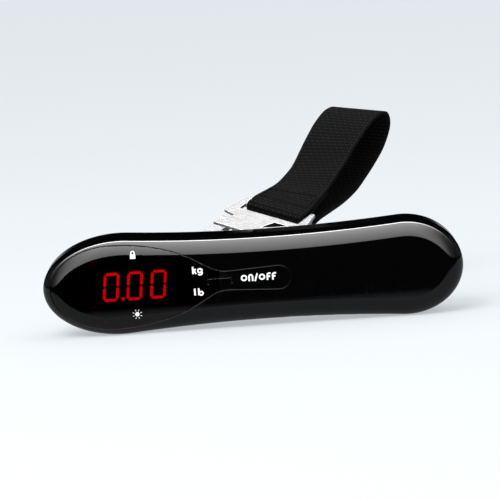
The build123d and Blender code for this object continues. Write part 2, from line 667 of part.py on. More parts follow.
# ---- Hook plate: the webbing's bar, ears, a cover over the top bar and a tongue behind it ----
hook_plane = Plane(origin=hook_bar + FACING * HOOK_LIFT, x_dir=ACROSS, z_dir=FACING)
root_angle = asin(HOOK_LIFT / TONGUE_RADIUS)  # the tongue starts inside the plate
root_plane = Plane(origin=hook_bar, x_dir=ACROSS, z_dir=FACING * cos(root_angle) + ALONG * sin(root_angle))

with BuildPart() as hook_plate:
    with BuildSketch(hook_plane.offset(-HOOK_THICK / 2)):
        with BuildLine():
            top_edge, bottom_edge = HOOK_HALF_OUTLINE[0][1], HOOK_HALF_OUTLINE[-1][1]
            Polyline((0, top_edge), *HOOK_HALF_OUTLINE, (0, bottom_edge))
            mirror(about=Plane.YZ)
        make_face()
        with Locations((0, -HOOK_SLOT)):
            Rectangle(2 * SLOT_HALF_WIDTH, 3 * HOOK_SLOT, align=(Align.CENTER, Align.MIN), mode=Mode.SUBTRACT)
        with BuildLine():
            Polyline(*HOOK_WINDOW, close=True)
        make_face(mode=Mode.SUBTRACT)
    extrude(amount=HOOK_THICK)
    fillet(hook_plate.faces().sort_by(Axis(hook_bar, FACING))[-1].edges(), HOOK_EDGE)
    fillet(hook_plate.faces().sort_by(Axis(hook_bar, FACING))[0].edges(), HOOK_EDGE)
    with Locations(root_plane.location * Location((0, 0, 0), (0, 90, 0))):
        Cylinder(HOOK_BAR_RADIUS, 2 * SLOT_HALF_WIDTH + 4)
    with BuildSketch(root_plane):
        with Locations((0, -TONGUE_RADIUS)):
            Rectangle(2 * TONGUE_HALF_WIDTH, TONGUE_THICK)
    revolve(axis=Axis(hook_bar, ACROSS), revolution_arc=TONGUE_SWEEP + degrees(root_angle))
save(hook_plate, "hook_plate")

# ---- Batteries, contacts and wires ----
SPRING_RADIUS, SPRING_WIRE, SPRING_TURNS = 2.6, 0.3, 4
CELL_ENDS = {AAA_Z: TRAY_RIGHT_X - CONTACT_THICK - AAA_LENGTH, -AAA_Z: TRAY_LEFT_X + CONTACT_THICK}


def cross_level(x):
    """The plane of sketches across the handle at one place; local X is Y and local Y is Z."""
    return Plane(origin=(x, 0, 0), x_dir=(0, 1, 0), z_dir=(1, 0, 0))


with BuildPart() as batteries:
    for z, start_x in CELL_ENDS.items():
        nub_left = z < 0
        body_start = start_x + (0.8 if nub_left else 0)
        nub_start = start_x if nub_left else start_x + AAA_LENGTH - 0.8
        for x, length, radius in ((body_start, AAA_LENGTH - 0.8, AAA_RADIUS), (nub_start, 0.8, 1.9)):
            with BuildSketch(cross_level(x)):
                with Locations((AAA_Y, z)):
                    Circle(radius)
            extrude(amount=length)
save(batteries, "batteries")

with BuildPart() as plate_contacts:
    for x in (TRAY_LEFT_X, TRAY_RIGHT_X - CONTACT_THICK):
        for z in (AAA_Z, -AAA_Z):
            add(block(x, x + CONTACT_THICK, AAA_Y - 4, AAA_Y + 4, z - 4.2, z + 4.2))
save(plate_contacts, "plate_contacts")

with BuildPart() as spring_contacts:
    for z, x, length in (
        (AAA_Z, TRAY_LEFT_X + CONTACT_THICK, AAA_LENGTH),
        (-AAA_Z, TRAY_RIGHT_X - CONTACT_THICK, -AAA_LENGTH),
    ):
        room = TRAY_RIGHT_X - TRAY_LEFT_X - 2 * CONTACT_THICK - AAA_LENGTH - 2 * SPRING_WIRE
        start = x + (SPRING_WIRE if length > 0 else -SPRING_WIRE)
        turn_dir = 1 if length > 0 else -1
        with BuildLine(mode=Mode.PRIVATE) as coil:
            Helix(
                room / SPRING_TURNS,
                room,
                SPRING_RADIUS,
                center=(start, AAA_Y, z),
                direction=(turn_dir, 0, 0),
            )
        with BuildSketch(Plane(origin=coil.line @ 0, z_dir=coil.line % 0)):
            Circle(SPRING_WIRE)
        sweep(path=coil.line, is_frenet=True)
save(spring_contacts, "spring_contacts")


def wires(routes, radius, start_heading):
    """Round wires, each along a smooth path through its own points to the board's back."""
    with BuildPart() as group:
        for route in routes:
            with BuildLine(mode=Mode.PRIVATE) as path:
                Spline(*route, tangents=(start_heading, (0, -1, 0)))
            with BuildSketch(Plane(origin=path.line @ 0, z_dir=path.line % 0)):
                Circle(radius)
            sweep(path=path.line)
    return group


gauge_face_y = CELL_FRONT_Y - GAUGE_THICK
cell_routes = [
    [(-22, gauge_face_y, z), (-23.5, -1.8, z), (-25, BOARD_BACK_Y, z)] for z in (-2.4, -0.8, 0.8, 2.4)
]
save(wires(cell_routes, 0.35, (0, -1, 0)), "cell_wires")
tray_face_x = TRAY_LEFT_X - TRAY_WALL
battery_routes = [[(tray_face_x, 3.0, z), (9.6, 0.4, z), (7.2, BOARD_BACK_Y, z)] for z in (-4.0, 4.0)]
save(wires(battery_routes, 0.5, (-1, 0, 0)), "battery_wires")
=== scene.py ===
"""Looks of the digital luggage scale: surfaces, woven webbing, printed legends, light and camera.

Lengths are written in millimetres and multiplied by MM, because the frame is in metres.
X runs along the handle, the display faces -Y, Z is up.
"""

import json
from math import atan2, cos, pi, radians, sin, sqrt

import bpy
import numpy as np
from mathutils import Matrix, Vector
from mathutils.kdtree import KDTree


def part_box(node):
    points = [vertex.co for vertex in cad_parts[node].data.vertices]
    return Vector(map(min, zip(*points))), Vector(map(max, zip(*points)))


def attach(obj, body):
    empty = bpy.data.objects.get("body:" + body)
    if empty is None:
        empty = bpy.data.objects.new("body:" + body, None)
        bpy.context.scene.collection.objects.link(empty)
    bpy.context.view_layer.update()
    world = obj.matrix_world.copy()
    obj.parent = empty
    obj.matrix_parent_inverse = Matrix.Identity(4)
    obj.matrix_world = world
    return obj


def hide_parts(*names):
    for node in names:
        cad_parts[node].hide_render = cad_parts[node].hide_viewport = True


MM = 0.001
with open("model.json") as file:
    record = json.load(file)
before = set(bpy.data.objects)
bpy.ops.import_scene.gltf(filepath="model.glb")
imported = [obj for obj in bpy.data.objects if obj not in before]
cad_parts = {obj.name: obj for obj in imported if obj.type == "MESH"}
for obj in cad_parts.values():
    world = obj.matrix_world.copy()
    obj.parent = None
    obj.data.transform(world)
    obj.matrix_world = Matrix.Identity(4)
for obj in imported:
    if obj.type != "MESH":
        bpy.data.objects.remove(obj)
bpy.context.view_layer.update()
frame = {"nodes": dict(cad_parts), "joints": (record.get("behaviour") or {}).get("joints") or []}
nodes = frame["nodes"]
joints = {joint["name"]: joint for joint in frame["joints"]}

# ---- Case form, from the shell's own box ----
shell_low, shell_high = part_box("front_shell")
END_X = shell_high.x / MM
HALF_DEPTH = -shell_low.y / MM
WAIST_X, WAIST_HALF_HEIGHT, WAIST_RADIUS = 4.8, 15.45, 620.0
LEFT_JOIN_X, RIGHT_JOIN_X = -43.9, 52.6
EDGE_RADIUS = 6.6
OUTLINE_STEPS = 900
ROUND_STEPS = 40


# ---------------------------------------------------------------- node helpers
def make_material(name):
    mat = bpy.data.materials.new(name)
    mat.use_nodes = True
    tree = mat.node_tree
    return mat, tree, tree.nodes["Principled BSDF"]


def add_node(tree, kind, settings=None, **inputs):
    """A node with its settings, and its input sockets filled with values or linked to other sockets."""
    made = tree.nodes.new(kind)
    for key, value in (settings or {}).items():
        setattr(made, key, value)
    for key, value in inputs.items():
        socket = made.inputs[int(key[2:])] if key.startswith("in") and key[2:].isdigit() else made.inputs[key]
        connect(tree, value, socket)
    return made


def connect(tree, value, socket):
    if isinstance(value, bpy.types.NodeSocket):
        tree.links.new(value, socket)
    else:
        socket.default_value = value


def maths(tree, operation, first, second=0.0, third=0.0):
    made = add_node(tree, "ShaderNodeMath", {"operation": operation}, in0=first, in1=second, in2=third)
    return made.outputs[0]


def ramp(tree, factor, stops):
    """A colour ramp through grey or coloured stops."""
    made = add_node(tree, "ShaderNodeValToRGB", in0=factor)
    elements = made.color_ramp.elements
    while len(elements) < len(stops):
        elements.new(0.5)
    for element, (share, colour) in zip(elements, stops):
        element.position = share
        if isinstance(colour, (int, float)):
            colour = (colour, colour, colour)
        element.color = (*colour, 1.0)
    return made.outputs[0]


def place(tree, scale=(1, 1, 1), spin=(0, 0, 0)):
    """Object coordinates, stretched and turned."""
    coords = add_node(tree, "ShaderNodeTexCoord").outputs["Object"]
    turned = add_node(tree, "ShaderNodeMapping", in0=coords)
    turned.inputs["Scale"].default_value = scale
    turned.inputs["Rotation"].default_value = spin
    return turned.outputs[0]


def noise(tree, vector, scale, detail=4.0, rough=0.55):
    made = add_node(tree, "ShaderNodeTexNoise", Vector=vector, Scale=scale, Detail=detail, Roughness=rough)
    return made.outputs[0]


def bump(tree, height, strength, distance):
    made = add_node(tree, "ShaderNodeBump", Height=height, Strength=strength, Distance=distance)
    return made.outputs[0]


def scratches(tree, turn):
    """Fine hairline scratches: a noise stretched long and cut to its thin crests."""
    long_way = place(tree, (900, 900, 26), (0.3 + turn, 0.5, turn))
    lines = noise(tree, long_way, 1.0, 2.0)
    return ramp(tree, lines, [(0.0, 0.0), (0.66, 0.0), (0.70, 1.0), (0.74, 0.0), (1.0, 0.0)])


def worn_edge(tree):
    """Rises on convex edges, where hands and table tops rub."""
    pointed = add_node(tree, "ShaderNodeNewGeometry").outputs["Pointiness"]
    return ramp(tree, pointed, [(0.52, 0.0), (0.60, 1.0)])


# ---------------------------------------------------------------- materials
def piano_black():
    """High-gloss black moulding with smudges, hairline scratches, rubbed edges and a trace of orange peel."""
    mat, tree, shader = make_material("piano_black")
    smudge = noise(tree, place(tree), 55.0, 5.0, 0.6)
    haze = ramp(tree, smudge, [(0.35, 0.03), (0.62, 0.055), (0.8, 0.10)])
    lines = scratches(tree, 0.9)
    rough = maths(tree, "MULTIPLY_ADD", lines, 0.10, haze)
    rough = maths(tree, "MULTIPLY_ADD", worn_edge(tree), 0.12, rough)
    tree.links.new(rough, shader.inputs["Roughness"])
    speckle = noise(tree, place(tree), 420.0, 2.0)
    tint = ramp(tree, speckle, [(0.3, (0.0009, 0.0009, 0.001)), (0.7, (0.0016, 0.0016, 0.0018))])
    tree.links.new(tint, shader.inputs["Base Color"])
    shader.inputs["IOR"].default_value = 1.5
    peel = noise(tree, place(tree), 260.0, 2.0)
    tree.links.new(bump(tree, peel, 0.012, 0.0004), shader.inputs["Normal"])
    return mat


def smoked_lens():
    """A polished tinted pane: it mirrors by angle and lets red light through."""
    mat, tree, shader = make_material("smoked_lens")
    tree.nodes.remove(shader)
    depth = noise(tree, place(tree), 90.0, 2.0)
    tint = ramp(tree, depth, [(0.3, (0.34, 0.020, 0.016)), (0.7, (0.38, 0.024, 0.020))])
    through = add_node(tree, "ShaderNodeBsdfTransparent", in0=tint)
    haze = ramp(tree, noise(tree, place(tree), 60.0, 5.0), [(0.35, 0.02), (0.65, 0.045), (0.85, 0.09)])
    rough = maths(tree, "MULTIPLY_ADD", scratches(tree, 0.4), 0.08, haze)
    mirror = add_node(tree, "ShaderNodeBsdfAnisotropic", Color=(1, 1, 1, 1), Roughness=rough)
    inside = add_node(tree, "ShaderNodeNewGeometry").outputs["Backfacing"]
    share = add_node(tree, "ShaderNodeFresnel", IOR=1.5).outputs[0]
    share = maths(tree, "MULTIPLY", share, maths(tree, "SUBTRACT", 1.0, inside))
    mixed = add_node(tree, "ShaderNodeMixShader", in0=share, in1=through.outputs[0], in2=mirror.outputs[0])
    tree.links.new(mixed.outputs[0], tree.nodes["Material Output"].inputs["Surface"])
    return mat


def bright_plate():
    """Nickel-plated steel, with the drawn grain left by its sheet and small dull patches."""
    mat, tree, shader = make_material("bright_plate")
    shader.inputs["Metallic"].default_value = 1.0
    grain = noise(tree, place(tree, (40, 1400, 1400), (0, 0, 0.9)), 1.0, 3.0)
    patches = noise(tree, place(tree), 130.0, 4.0)
    rough = maths(tree, "MULTIPLY_ADD", grain, 0.14, 0.16)
    rough = maths(tree, "MULTIPLY_ADD", patches, 0.08, rough)
    tree.links.new(rough, shader.inputs["Roughness"])
    tint = ramp(tree, patches, [(0.3, (0.40, 0.40, 0.405)), (0.7, (0.44, 0.44, 0.44))])
    tree.links.new(tint, shader.inputs["Base Color"])
    tree.links.new(bump(tree, grain, 0.04, 0.00003), shader.inputs["Normal"])
    return mat


WEAVE_PAINTED_SHADE = [  # painted shade and light by height in the weave, from the dark dips between yarns to the lighter crests
    (0.0, (0.0003, 0.0003, 0.0003)),
    (0.62, (0.004, 0.004, 0.0041)),
    (1.0, (0.022, 0.022, 0.0222)),
]


def webbing_nylon():
    """Matt black nylon webbing, with painted shade in the dips between the yarns and painted light on their
    crests, fine fibres along the yarns and a little lint.
    """
    mat, tree, shader = make_material("webbing_nylon")
    crest = add_node(tree, "ShaderNodeAttribute", {"attribute_name": "crest"}).outputs["Fac"]
    fibres = noise(tree, place(tree, (5200, 5200, 900)), 1.0, 2.0)
    lint = noise(tree, place(tree), 900.0, 3.0)
    # painted shade and light: the colour darkens in the weave's dips and lightens on its crests
    painted_weave_tone = ramp(tree, crest, WEAVE_PAINTED_SHADE)
    speck = ramp(tree, lint, [(0.60, (0.0, 0.0, 0.0)), (0.78, (0.006, 0.006, 0.006))])
    adding = {"data_type": "RGBA", "blend_type": "ADD"}
    mixed = add_node(tree, "ShaderNodeMix", adding, in0=1.0, in6=painted_weave_tone, in7=speck)
    tree.links.new(mixed.outputs[2], shader.inputs["Base Color"])
    shader.inputs["Roughness"].default_value = 0.7
    shader.inputs["Specular IOR Level"].default_value = 0.03
    tree.links.new(bump(tree, fibres, 0.5, 0.00008), shader.inputs["Normal"])
    return mat


def glowing(name, colour, strength):
    """A lit piece, slightly uneven as a diffuser is."""
    mat, tree, shader = make_material(name)
    uneven = ramp(tree, noise(tree, place(tree), 700.0, 2.0), [(0.2, 0.82), (0.8, 1.0)])
    power = maths(tree, "MULTIPLY", uneven, strength)
    shader.inputs["Base Color"].default_value = (*colour, 1.0)
    shader.inputs["Emission Color"].default_value = (*colour, 1.0)
    tree.links.new(power, shader.inputs["Emission Strength"])
    return mat


def legend_ink_and_glow():
    """White printing ink, slightly grainy, with a faint painted glow that lifts it a little so that it reads
    in the shade.
    """
    mat, tree, shader = make_material("legend_ink_and_glow")
    grain = noise(tree, place(tree), 2600.0, 2.0)
    tree.links.new(ramp(tree, grain, [(0.3, 0.86), (0.7, 0.95)]), shader.inputs["Base Color"])
    shader.inputs["Roughness"].default_value = 0.5
    # painted glow: the ink emits a little light though it is no lamp
    shader.inputs["Emission Color"].default_value = (1, 1, 1, 1)
    shader.inputs["Emission Strength"].default_value = 0.25
    tree.links.new(bump(tree, grain, 0.2, 0.00001), shader.inputs["Normal"])
    return mat


def moulded(name, dark, light, rough, metal=0.0, scale=300.0, depth=0.00003):
    """Moulded, machined or plated stock: colour, roughness and a fine skin all vary a little."""
    mat, tree, shader = make_material(name)
    skin = noise(tree, place(tree), scale, 5.0)
    broad = noise(tree, place(tree), scale / 9.0, 3.0)
    tree.links.new(ramp(tree, broad, [(0.3, dark), (0.7, light)]), shader.inputs["Base Color"])
    spread = ramp(tree, skin, [(0.3, max(rough - 0.08, 0.02)), (0.7, rough + 0.08)])
    tree.links.new(spread, shader.inputs["Roughness"])
    shader.inputs["Metallic"].default_value = metal
    tree.links.new(bump(tree, skin, 0.4, depth), shader.inputs["Normal"])
    return mat


def solder_mask():
    """Green board with copper tracks under the mask."""
    mat, tree, shader = make_material("solder_mask")
    squares = add_node(tree, "ShaderNodeTexBrick", Vector=place(tree, (1, 1, 1), (pi / 2, 0, 0)), Scale=260.0)
    squares.inputs["Mortar Size"].default_value = 0.10
    squares.inputs["Color1"].default_value = (0.004, 0.035, 0.012, 1)
    squares.inputs["Color2"].default_value = (0.005, 0.045, 0.016, 1)
    squares.inputs["Mortar"].default_value = (0.02, 0.10, 0.035, 1)
    tree.links.new(squares.outputs["Color"], shader.inputs["Base Color"])
    shader.inputs["Roughness"].default_value = 0.35
    tree.links.new(bump(tree, squares.outputs["Fac"], 0.3, 0.00003), shader.inputs["Normal"])
    return mat


def cell_sleeve():
    """A plain battery sleeve: dark, with one copper-coloured end band."""
    mat, tree, shader = make_material("cell_sleeve")
    coords = add_node(tree, "ShaderNodeSeparateXYZ", in0=place(tree)).outputs["X"]
    low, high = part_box("batteries")
    share = maths(tree, "DIVIDE", maths(tree, "SUBTRACT", coords, low.x), high.x - low.x)
    copper, dark = (0.55, 0.27, 0.12), (0.02, 0.022, 0.026)
    bands = ramp(tree, share, [(0.0, copper), (0.24, copper), (0.26, dark), (1.0, dark)])
    tree.links.new(bands, shader.inputs["Base Color"])
    shader.inputs["Metallic"].default_value = 0.6
    wear = ramp(tree, noise(tree, place(tree), 200.0, 4.0), [(0.3, 0.25), (0.7, 0.4)])
    tree.links.new(wear, shader.inputs["Roughness"])
    return mat


# ---------------------------------------------------------------- case surface
def end_ellipse(join_x):
    """Centre, half axes and joining angle of the ellipse that rounds off one end."""
    run_in = abs(join_x - WAIST_X)
    drop = sqrt(WAIST_RADIUS**2 - run_in**2)
    join_z = WAIST_RADIUS + WAIST_HALF_HEIGHT - drop
    slope = run_in / drop
    run = END_X - abs(join_x)
    past = run**2 / (2 * run + join_z / slope)
    semi_x = run - past
    semi_z = semi_x * sqrt(slope * join_z / past)
    side = 1 if join_x > 0 else -1
    return join_x + side * past, semi_x, semi_z, atan2(join_z / semi_z, -side * past / semi_x)


def case_outline():
    """Points round the case's outline with their outward normals, from the left tip, in millimetres."""
    upper = []
    left_x, left_semi_x, left_semi_z, left_angle = end_ellipse(LEFT_JOIN_X)
    right_x, right_semi_x, right_semi_z, right_angle = end_ellipse(RIGHT_JOIN_X)
    ends = [
        (left_x, left_semi_x, left_semi_z, pi, left_angle),
        (right_x, right_semi_x, right_semi_z, right_angle, 0),
    ]
    for centre_x, semi_x, semi_z, start, stop in ends:
        for angle in np.linspace(start, stop, OUTLINE_STEPS // 3):
            normal = Vector((cos(angle) / semi_x, sin(angle) / semi_z)).normalized()
            upper.append((centre_x + semi_x * cos(angle), semi_z * sin(angle), normal.x, normal.y))
    for x in np.linspace(LEFT_JOIN_X, RIGHT_JOIN_X, OUTLINE_STEPS // 3)[1:-1]:
        drop = sqrt(WAIST_RADIUS**2 - (x - WAIST_X) ** 2)
        z = WAIST_RADIUS + WAIST_HALF_HEIGHT - drop
        upper.append((x, z, -(x - WAIST_X) / WAIST_RADIUS, drop / WAIST_RADIUS))
    upper.sort(key=lambda point: point[0])
    lower = [(x, -z, nx, -nz) for x, z, nx, nz in reversed(upper[1:-1])]
    return np.array(upper + lower)


outline = case_outline()
outline_tree = KDTree(len(outline))
for index, (x, z, _, _) in enumerate(outline):
    outline_tree.insert((x, z, 0), index)
outline_tree.balance()


def face_y(x, z):
    """Depth of the case's front face at one place, in millimetres."""
    _, index, _ = outline_tree.find((x, z, 0))
    edge_x, edge_z, normal_x, normal_z = outline[index]
    inside = (edge_x - x) * normal_x + (edge_z - z) * normal_z
    short = max(EDGE_RADIUS - inside, 0.0)
    return -(HALF_DEPTH - EDGE_RADIUS + sqrt(max(EDGE_RADIUS**2 - short**2, 0.0)))


def case_surface():
    """The case's outer surface as one fine hidden mesh, which only lends its smooth normals to the shells."""
    rounds = np.linspace(0, pi / 2, ROUND_STEPS)
    straight = HALF_DEPTH - EDGE_RADIUS
    rings = [(EDGE_RADIUS * (1 - cos(a)), -(straight + EDGE_RADIUS * sin(a)), a) for a in rounds]
    rings = [(inset, y, a) for inset, y, a in reversed(rings)] + [(inset, -y, -a) for inset, y, a in rings]
    points, normals = [], []
    for inset, y, angle in rings:
        flat = outline[:, :2] - outline[:, 2:] * inset
        points.append(np.column_stack([flat[:, 0], np.full(len(flat), y), flat[:, 1]]))
        side = outline[:, 2:] * cos(angle)
        normals.append(np.column_stack([side[:, 0], np.full(len(flat), -sin(angle)), side[:, 1]]))
    count = len(outline)
    faces = []
    for ring in range(len(rings) - 1):
        for i in range(count):
            j = (i + 1) % count
            a, b = ring * count, (ring + 1) * count
            faces.append((a + i, a + j, b + j, b + i))
    faces.append(tuple(range(count)))
    faces.append(tuple(reversed(range((len(rings) - 1) * count, len(rings) * count))))
    mesh = bpy.data.meshes.new("case_surface")
    mesh.from_pydata(np.concatenate(points) * MM, [], faces)
    mesh.shade_smooth()
    mesh.normals_split_custom_set_from_vertices(np.concatenate(normals).tolist())
    surface = bpy.data.objects.new("case_surface", mesh)
    bpy.context.scene.collection.objects.link(surface)
    surface.hide_render = True
    return surface


def lend_normals(surface, names):
    """Takes the surface's normals onto those CAD faces that lie on it, and leaves walls and holes alone."""
    for name in names:
        lend = nodes[name].modifiers.new("smooth_skin", "DATA_TRANSFER")
        lend.object = surface
        lend.use_loop_data = True
        lend.data_types_loops = {"CUSTOM_NORMAL"}
        lend.loop_mapping = "POLYINTERP_NEAREST"
        lend.use_max_distance = True
        lend.max_distance = 0.02 * MM


# ---------------------------------------------------------------- printed legends
# Lengths in millimetres; LOCK_SPOT and SUN_SPOT are X and Z on the case's front.
INK_THICK = 0.04
CAP_HEIGHT = 2.5
STROKE = 0.56
WORD_RISE = 0.35
LOCK_SPOT = (-42.1, 10.75)
SUN_SPOT = (-41.9, -9.95)


def ring_points(x, z, radius_x, radius_z, start=0.0, turn=360.0, steps=28):
    """Points on an elliptical arc."""
    angles = [radians(start + turn * i / steps) for i in range(steps + 1)]
    return [(x + radius_x * cos(a), z + radius_z * sin(a)) for a in angles]


def moved(lines, x, z, wide=1.0, high=1.0):
    """Strokes scaled and carried to their place on the case."""
    return [[(x + wide * line_x, z + high * line_z) for line_x, line_z in line] for line in lines]


def printed(name, strokes, width, body, mat, patches=()):
    """Round-ended strokes and filled patches printed on the case's front, as one thin piece."""
    curve = bpy.data.curves.new(name, "CURVE")
    curve.dimensions = "3D"
    curve.bevel_depth = width / 2 * MM
    curve.bevel_resolution = 3
    curve.use_fill_caps = True
    for stroke in strokes:
        spline = curve.splines.new("POLY")
        closed = len(stroke) > 3 and (Vector(stroke[0]) - Vector(stroke[-1])).length < 1e-6
        kept = stroke[:-1] if closed else stroke
        spline.points.add(len(kept) - 1)
        for point, (x, z) in zip(spline.points, kept):
            point.co = (x * MM, 0, z * MM, 1)
        spline.use_cyclic_u = closed
    maker = bpy.data.objects.new(name + "_maker", curve)
    bpy.context.scene.collection.objects.link(maker)
    bpy.context.view_layer.update()
    mesh = bpy.data.meshes.new_from_object(maker.evaluated_get(bpy.context.evaluated_depsgraph_get()))
    bpy.data.objects.remove(maker)
    points = [tuple(v.co) for v in mesh.vertices]
    faces = [tuple(p.vertices) for p in mesh.polygons]
    for patch in patches:
        first, count = len(points), len(patch)
        for level in (-width / 2, width / 2):
            points += [(x * MM, level * MM, z * MM) for x, z in patch]
        faces.append(tuple(range(first, first + count)))
        faces.append(tuple(reversed(range(first + count, first + 2 * count))))
        for i in range(count):
            j = (i + 1) % count
            faces.append((first + j, first + i, first + count + i, first + count + j))
    laid = []
    for x, y, z in points:
        base = face_y(x / MM, z / MM) - INK_THICK / 2
        laid.append((x, (base + y / MM * INK_THICK / width) * MM, z))
    inked = bpy.data.meshes.new(name)
    inked.from_pydata(laid, [], faces)
    inked.materials.append(mat)
    piece = bpy.data.objects.new(name, inked)
    bpy.context.scene.collection.objects.link(piece)
    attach(piece, body)


def legends(ink):
    """The unit names, the button's name and two symbols, in plain round-ended strokes."""
    half = CAP_HEIGHT / 2
    arch = ring_points(0, 0.33, 0.62, 0.62, 180, -180, 12)
    letter_n = [(-0.62, -half), (-0.62, 0.1)] + arch + [(0.62, -half)]
    letter_f = [
        [(-0.5, -half), (-0.5, 0.5)] + ring_points(0.2, 0.5, 0.7, 0.6, 180, -90, 8) + [(0.7, half - 0.15)],
        [(-0.5, 0.05), (0.45, 0.05)],
    ]
    word = [
        (-3.3, [ring_points(0, 0, 0.86, 0.84)]),
        (-0.9, [letter_n]),
        (1.0, [[(-0.45, -half - 0.1), (0.45, half + 0.1)]]),
        (3.1, [ring_points(0, 0, 0.86, 0.84)]),
        (5.5, letter_f),
        (7.4, letter_f),
    ]
    button_word = [line for spot, lines in word for line in moved(lines, spot, WORD_RISE)]
    printed("legend_button", button_word, STROKE, "power_button", ink)
    stem = [(0, -half), (0, half + 0.4)]
    letter_k = [stem, [(0.1, -0.25), (1.15, 0.75)], [(0.45, 0.1), (1.2, -half)]]
    tail = ring_points(0, -1.0, 0.7, 0.55, 0, -150, 12)
    letter_g = [ring_points(0, -0.1, 0.68, 0.66), [(0.7, 0.55), (0.7, -1.0)] + tail[1:]]
    kilograms = moved(letter_k, -21.2, 4.1, 0.9, 0.9) + moved(letter_g, -18.75, 4.15)
    printed("legend_kg", kilograms, STROKE, "case", ink)
    letter_b = [stem, ring_points(0.85, -0.5, 0.75, 0.72)]
    pounds = moved([stem], -21.0, -3.6, 1.0, 0.85) + moved(letter_b, -19.6, -3.6, 0.9, 0.85)
    printed("legend_lb", pounds, STROKE, "case", ink)
    shackle = [(-0.6, 0.6)] + ring_points(0, 1.15, 0.6, 0.65, 180, -180, 12) + [(0.6, 0.6)]
    lock_body = [(-0.95, -0.85), (0.95, -0.85), (0.95, 0.7), (-0.95, 0.7)]
    printed("legend_lock", moved([shackle], *LOCK_SPOT), 0.36, "case", ink, moved([lock_body], *LOCK_SPOT))
    rays = []
    for step in range(8):
        angle = radians(45 * step + 22.5)
        rays.append([(reach * cos(angle), reach * sin(angle)) for reach in (1.15, 1.75)])
    disc = ring_points(0, 0, 0.74, 0.74)[:-1]
    printed("legend_sun", moved(rays, *SUN_SPOT), 0.17, "case", ink, moved([disc], *SUN_SPOT))


# ---------------------------------------------------------------- webbing
# Worked out beside the strap: millimetres along it and out of its plane from the top bar's axis.
HOOK_ALONG, HOOK_OUT = 9.5, 3.2
WEBBING_WIDTH, WEBBING_THICK, LAYER_GAP = 25.0, 1.3, 0.15
CELL_ALONG, CELL_ACROSS = 1.45, 1.32
CREST = 0.17
SELVEDGE = 0.9
EDGE_ROUND, EDGE_SHARE = 0.15, 0.35  # how far in the rounded edge starts, and the thickness left at its rim
PATH_STEP = 0.36
COLUMNS = 76
STITCH_PITCH, STITCH_LENGTH, STITCH_RADIUS = 1.9, 1.6, 0.17
SEAM_HALF_WIDTH = 10.9
STITCHES_IN_ROW = 12
top_bar = Vector(joints["loop_swing"]["pos_m"]) / MM
hook_bar = Vector(joints["hook_release"]["pos_m"]) / MM
ACROSS = Vector(joints["loop_swing"]["axis"]).normalized()
lever = (hook_bar - top_bar).normalized()
lever_turn = atan2(HOOK_OUT, HOOK_ALONG)
ALONG = lever * cos(lever_turn) - ACROSS.cross(lever) * sin(lever_turn)
FACING = lever * sin(lever_turn) + ACROSS.cross(lever) * cos(lever_turn)
BACK_TURN, BACK_TAIL_TURN = radians(-1.0), radians(-25.0)
FRONT_TURN, FRONT_TAIL_TURN = radians(2.5), radians(27.0)
WRAP_RADIUS, HOOK_WRAP_RADIUS = 2.45, 1.85
BACK_RUN, FRONT_RUN, TAIL_RUN = 14.0, 14.0, 9.0
LOOP_KNOTS = [
    (28.0, -3.8),
    (36.0, -4.1),
    (44.0, -3.2),
    (50.0, -1.0),
    (57.0, 2.2),
    (64.0, 6.6),
    (68.6, 13.0),
    (67.2, 18.8),
    (61.0, 20.6),
    (54.0, 18.9),
    (46.0, 14.9),
    (38.0, 10.0),
    (30.0, 6.9),
]
# The strap's twist in degrees at places along it, on its front and back layers.
TWIST_PLACES = [0, 13, 20, 28, 36, 44, 52, 60, 70]
FRONT_TWIST = [0, 0, -6, -12, -15.5, -13, -10, -9, -9]
BACK_TWIST = [0, -4, -9, -10, -10, -10, -9.5, -9, -9]


def heading(angle):
    return Vector((cos(angle), sin(angle)))


def square_to(angle):
    return Vector((-sin(angle), cos(angle)))


def arc(centre, start, end, radius, steps=24):
    """Points round a bar between two angles."""
    return [centre + heading(start + (end - start) * i / steps) * radius for i in range(steps + 1)]


def smooth_run(knots, first_way, last_way, steps=22):
    """A smooth run through knots, leaving and arriving along given ways."""
    ways = []
    for i, knot in enumerate(knots):
        if i == 0:
            ways.append(first_way.normalized() * (knots[1] - knot).length)
        elif i == len(knots) - 1:
            ways.append(last_way.normalized() * (knot - knots[i - 1]).length)
        else:
            ways.append((knots[i + 1] - knots[i - 1]) / 2)
    points = []
    for i in range(len(knots) - 1):
        for step in range(steps):
            t = step / steps
            points.append(
                knots[i] * (2 * t**3 - 3 * t**2 + 1)
                + ways[i] * (t**3 - 2 * t**2 + t)
                + knots[i + 1] * (3 * t**2 - 2 * t**3)
                + ways[i + 1] * (t**3 - t**2)
            )
    return points + [knots[-1]]


def wrap(bar, radius, turn, tail_turn, side):
    """Where the webbing round a bar goes on as the loop, and where its tail starts and joins it."""
    main_start = bar + square_to(turn) * radius * side
    tail_start = bar - square_to(tail_turn) * radius * side
    beside = main_start - square_to(turn) * (WEBBING_THICK + LAYER_GAP) * side
    reach = (beside - tail_start).dot(square_to(turn)) / heading(tail_turn).dot(square_to(turn))
    tail_meet = tail_start + heading(tail_turn) * reach + heading(turn) * 2
    return main_start, tail_start, tail_meet


hook_spot = Vector((HOOK_ALONG, HOOK_OUT))
back_start, tail_start, tail_meet = wrap(Vector((0, 0)), WRAP_RADIUS, BACK_TURN, BACK_TAIL_TURN, -1)
front_start, hook_tail, hook_meet = wrap(hook_spot, HOOK_WRAP_RADIUS, FRONT_TURN, FRONT_TAIL_TURN, 1)


